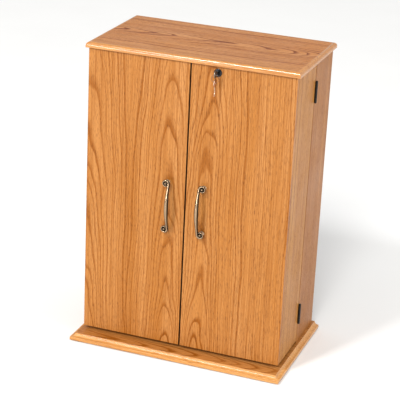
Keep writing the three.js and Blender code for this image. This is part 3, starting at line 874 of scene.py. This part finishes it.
half_span, post_offset = 0.068, 0.054
scroll_offset, scroll_turns, scroll_closing, scroll_dip = 0.009, 1.15, 0.16, 0.0016
bar_end, bar_swell, standoff, bow, bar_steps = 0.0036, 0.0023, 0.0150, 0.014, 40
button_profile = [
    (0, 0.0003, 0), (0.0072, 0.0003, 0.4), (0.0074, 0.0009, 0.2), (0.0068, 0.0017, 0),
    (0.0050, 0.0027, 0.6), (0.0045, 0.0040, 0.7), (0.0045, 0.0092, 0.5), (0.0056, 0.0106, 0.3),
    (0.0084, 0.0114, 0.6), (0.0100, 0.0124, 0.5), (0.0105, 0.0138, 0.2), (0.0102, 0.0154, 0),
    (0.0095, 0.0162, 0.1), (0.0087, 0.0158, 0.9), (0.0082, 0.0142, 1), (0.0058, 0.0140, 1),
    (0.0049, 0.0146, 1), (0.0044, 0.0166, 0.9), (0.0037, 0.0184, 0.8), (0.0026, 0.0195, 0.7),
    (0.0013, 0.0201, 0.5), (0, 0.0203, 0.5),
]
face_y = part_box("left_door_front_panel")[0].y
for side, sign in (("left", -1), ("right", 1)):
    low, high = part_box(f"{side}_pull")
    centre_z = (low.z + high.z) / 2
    post_x = sign * post_offset
    bm = bmesh.new()
    for end in (-1, 1):
        lathe(bm, Vector((post_x, face_y, centre_z + end * half_span)), Vector((0, -1, 0)),
              button_profile)
    buttons = finished_object(f"{side}_pull_buttons", bm, [antique_brass])
    soften(buttons, 50)
    stand_for(buttons, f"{side}_door", "antique_brass", f"{side}_pull")

    def scroll(end, steps=44):
        """Points of one end's curl, from the bar inwards."""
        for i in range(steps + 1):
            share = i / steps
            angle = math.pi - end * share * scroll_turns * 2 * math.pi
            reach = scroll_offset * (1 - scroll_closing * share)
            x = post_x + sign * reach * math.cos(angle)
            z = centre_z + end * half_span + reach * math.sin(angle)
            y = face_y - standoff - scroll_dip * share
            yield Vector((x, y, z)), bar_end * (0.34 + 0.66 * (1 - share) ** 3)

    bar = []
    for i in range(1, bar_steps):
        share = -1 + 2 * i / bar_steps
        rise = bow * math.cos(share * math.pi / 2)
        spot = Vector((post_x - sign * scroll_offset, face_y - standoff - rise,
                       centre_z + share * half_span))
        bar.append((spot, bar_end + bar_swell * math.cos(share * math.pi / 2) ** 2))
    spots = list(scroll(-1))[::-1] + bar + list(scroll(1))
    handle = run_tree(
        f"{side}_pull_bar", path_mesh(f"{side}_pull_bar", spots), rod_tree,
        {"Sides": 20, "Finish": antique_brass},
    )
    # Painted shade over a rubbed finish: each point of the bar is darkened by how far it turns from
    # the front, so the crest that faces the hand stays bright and the flanks go dark
    rubbed_and_shaded = handle.data.attributes.new("patina", "FLOAT", "POINT")
    for i, vertex in enumerate(handle.data.vertices):
        rubbed_and_shaded.data[i].value = min(0.95, max(0.0, 7.0 + 7.6 * vertex.normal.y))
    stand_for(handle, f"{side}_door", "antique_brass", f"{side}_pull")

# Hinges --------------------------------------------------------------------------------------
# Black-enamelled steel butt hinges. Their leaves lie in the gap between the door box and the
# carcass, so only the five knuckles and the pin's heads show outside until a door is opened.

black_enamel = worn_metal("black_enamelled_steel", "#262422", "#121110", 0.33, 0.003, 0.6, 0.55)

# Cross-slotted heads, all of one form: hinge, catch and strike-plate screws
screw_tree, given, end_with = node_group(
    "cross_slotted_screws",
    {"Head Radius": "Float", "Head Height": "Float", "Slot Width": "Float",
     "Slot Depth": "Float"},
)
rim = add_node(
    screw_tree, "ShaderNodeMath", {0: given["Head Radius"], 1: 0.8}, operation="MULTIPLY",
)
head = add_node(
    screw_tree, "GeometryNodeMeshCone",
    {"Vertices": 24, "Radius Top": rim.outputs["Value"], "Radius Bottom": given["Head Radius"],
     "Depth": given["Head Height"]},
)
double_depth = add_node(
    screw_tree, "ShaderNodeMath", {0: given["Slot Depth"], 1: 2.0}, operation="MULTIPLY",
)
slot_place = add_node(screw_tree, "ShaderNodeCombineXYZ", {"Z": given["Head Height"]})
slots = []
for long_side, short_side in (("X", "Y"), ("Y", "X")):
    slot_size = add_node(
        screw_tree, "ShaderNodeCombineXYZ",
        {long_side: given["Head Radius"], short_side: given["Slot Width"],
         "Z": double_depth.outputs["Value"]},
    )
    cutter = add_node(
        screw_tree, "GeometryNodeMeshCube", {"Size": slot_size.outputs["Vector"]},
    )
    lifted = add_node(
        screw_tree, "GeometryNodeTransform",
        {"Geometry": cutter.outputs["Mesh"], "Translation": slot_place.outputs["Vector"]},
    )
    slots.append(lifted.outputs["Geometry"])
slotted = add_node(
    screw_tree, "GeometryNodeMeshBoolean",
    {"Mesh 1": head.outputs["Mesh"], "Mesh 2": tuple(slots)}, operation="DIFFERENCE",
)
end_with(set_on_points(screw_tree, given["Geometry"], slotted.outputs["Mesh"]))


def screws(name, body, slot, places, finish, radius=0.0028, height=0.0002, depth=0.00016):
    made = run_tree(
        name, points_mesh(name, places), screw_tree,
        {"Head Radius": radius, "Head Height": height, "Slot Width": 0.0009,
         "Slot Depth": depth, "Finish": finish},
    )
    stand_for(made, body, slot)


leaf_gap_half, leaf_half = 0.0015, 0.00025
first_screw, screw_step, stagger = 0.17, 0.33, 0.008
case_screws = []
for side, sign in (("left", -1), ("right", 1)):
    door_screws = []
    for level in ("lower", "upper"):
        hinge = f"{side}_{level}_hinge"
        for part, body in (("case_leaf", "cabinet"), ("door_leaf", f"{side}_door"),
                           ("pin", "cabinet")):
            eased_piece(f"{hinge}_{part}", body, "black_steel", black_enamel, 0.00018, True)
        low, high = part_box(f"{hinge}_case_leaf")
        far_x = low.x if sign > 0 else high.x
        hinge_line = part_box(f"{side}_side_panel")[0].y - leaf_gap_half
        for i in range(3):
            z = low.z + (high.z - low.z) * (first_screw + screw_step * i)
            x = far_x + sign * stagger * (1 + i % 2)
            case_screws.append((Vector((x, hinge_line + leaf_half, z)), Vector((0, -1, 0))))
            door_screws.append((Vector((x, hinge_line - leaf_half, z)), Vector((0, 1, 0))))
    screws(f"{side}_door_hinge_screws", f"{side}_door", "black_steel", door_screws, black_enamel)
screws("carcass_hinge_screws", "cabinet", "black_steel", case_screws, black_enamel)

# Lock, key ring and keys ---------------------------------------------------------------------
# A cam lock through the right door's front panel: a threaded body held by a hexagonal nut, a plug
# that turns in it, and a cam screwed to the plug. One key stays in it, and a split ring in its
# bow holds the spare. The lock is black-chromed zinc; the keys are stamped and nickel plated.

black_chrome = worn_metal("black_chromed_zinc", "#34363a", "#141416", 0.16, 0.003, 0.35, 0.9)
# Painted reflection: the spare key's nickel is tinted pink, for the oak reflected in it
stamped_key_oak_tint = worn_metal("nickel_key_painted_oak_reflection", "#e2c2ab", "#3f2d20", 0.22, 0.0022, 0.85)
# The key that stays in the lock, and the split ring, are a darker and duller nickel than the spare
dull_key = worn_metal("darker_nickel_key", "#8f857b", "#332c26", 0.30, 0.0022, 0.8)

low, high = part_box("lock_body")
lock_centre = Vector(((low.x + high.x) / 2, face_y, (low.z + high.z) / 2))
tail = high.y - face_y
bore = 0.0058
body_profile = [
    (bore, tail, 0.6), (bore, -0.0024, 0.8), (bore + 0.0004, -0.0029, 0.3),
    (0.0088, -0.0030, 0), (0.0100, -0.0027, 0), (0.0110, -0.0020, 0), (0.0114, -0.0012, 0),
    (0.0115, -0.0003, 0.4), (0.0086, -0.0003, 0.5),
]
# Thread along the barrel behind the escutcheon, drawn as rings 1 mm apart
thread_pitch = 0.0010
turns = int((tail - 0.001) / thread_pitch)
for i in range(turns):
    body_profile.append((0.0086, thread_pitch * i + 0.0004, 0.1))
    body_profile.append((0.0081, thread_pitch * i + 0.0009, 0.8))
body_profile += [(0.0080, tail, 0.3), (bore, tail, 0.6)]
bm = bmesh.new()
lathe(bm, lock_centre, Vector((0, 1, 0)), body_profile, 64)
bmesh.ops.remove_doubles(bm, verts=bm.verts, dist=1e-7)
bmesh.ops.recalc_face_normals(bm, faces=bm.faces)
barrel = finished_object("lock_body_turned", bm, [black_chrome])
soften(barrel, 30)
stand_for(barrel, "right_door", "black_zinc", "lock_body")

for node, body, slot, finish in (
    ("lock_nut", "right_door", "bright_steel", nickel),
    ("lock_plug", "lock_cylinder", "black_zinc", black_chrome),
    ("lock_cam", "lock_cylinder", "bright_steel", nickel),
    ("lock_cam_screw", "lock_cylinder", "bright_steel", nickel),
    ("lock_key", "key", "bright_steel", dull_key),
    ("spare_key", "hanging_key", "bright_steel", stamped_key_oak_tint),
):
    eased_piece(node, body, slot, finish, 0.0003, True)

low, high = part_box("key_ring")
ring_centre = (low + high) / 2
wire = 0.00045
ring_radius = (high.x - low.x) / 2 - wire * 2
coils, coil_steps = 2, 56
ring_spots = []
for i in range(coils * coil_steps + 1):
    angle = math.pi / 2 + 2 * math.pi * i / coil_steps
    share = i / (coils * coil_steps)
    ring_spots.append((
        ring_centre + Vector((ring_radius * math.cos(angle), (share - 0.5) * 2 * wire,
                              ring_radius * math.sin(angle))),
        wire,
    ))
split_ring = run_tree(
    "split_key_ring", path_mesh("split_key_ring", ring_spots), rod_tree,
    {"Sides": 12, "Finish": dull_key},
)
stand_for(split_ring, "ring", "bright_steel", "key_ring")

# Catches and left-hand bolt ------------------------------------------------------------------
# A magnet in a white plastic case under the top board meets a steel plate on each door, and a
# slide bolt on the left door's inner side goes up into the top board, so that the lock in the
# right door holds both.

# Moulded polystyrene: even and slightly glossy, with a fine moulded grain
white_plastic, tree, place = new_material("moulded_white_polystyrene")
yellowing = add_node(tree, "ShaderNodeTexNoise", {"Vector": place, "Scale": 60.0, "Detail": 2.0})
plastic_tone = blend(tree, yellowing.outputs["Fac"], linear("#e9e5da"), linear("#d9d2c2"))
moulded_grain = add_node(tree, "ShaderNodeTexNoise", {"Vector": place, "Scale": 1800.0})
plastic_bump = add_node(
    tree, "ShaderNodeBump",
    {"Height": moulded_grain.outputs["Fac"], "Strength": 0.1, "Distance": 0.0001},
)
finish_material(tree, {
    "Base Color": plastic_tone, "Roughness": 0.4, "Normal": plastic_bump.outputs["Normal"],
    "IOR": 1.55,
})

catch_screws = []
for side in ("left", "right"):
    eased_piece(f"{side}_catch", "cabinet", "white_plastic", white_plastic, 0.0009, True)
    eased_piece(f"{side}_strike_plate", f"{side}_door", "bright_steel", nickel, 0.0002, True)
    low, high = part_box(f"{side}_strike_plate")
    strike_screws = [
        (Vector((low.x + (high.x - low.x) * share, high.y, (low.z + high.z) / 2)),
         Vector((0, 1, 0)))
        for share in (0.2, 0.8)
    ]
    screws(f"{side}_strike_screws", f"{side}_door", "bright_steel", strike_screws, nickel)
    low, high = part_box(f"{side}_catch")
    for share in (0.12, 0.88):
        spot = Vector((low.x + (high.x - low.x) * share, (low.y + high.y) / 2 + 0.002, low.z))
        catch_screws.append((spot, Vector((0, 0, -1))))
screws("catch_screws", "cabinet", "bright_steel", catch_screws, nickel, 0.0026, 0.0009, 0.0005)

eased_piece("left_bolt_guide", "left_door", "bright_steel", nickel, 0.0004, True)
eased_piece("left_bolt_rod", "bolt", "bright_steel", nickel, 0.0003, True)
low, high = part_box("left_bolt_guide")
screw_margin, guide_sink = 0.0028, 0.0015
bolt_screws = [
    (Vector((high.x - guide_sink, y, low.z + (high.z - low.z) * share)), Vector((-1, 0, 0)))
    for share in (0.40, 0.60)
    for y in (low.y + screw_margin, high.y - screw_margin)
]
screws("bolt_guide_screws", "left_door", "bright_steel", bolt_screws, nickel, 0.0022, 0.0007,
       0.0004)

low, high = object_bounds()
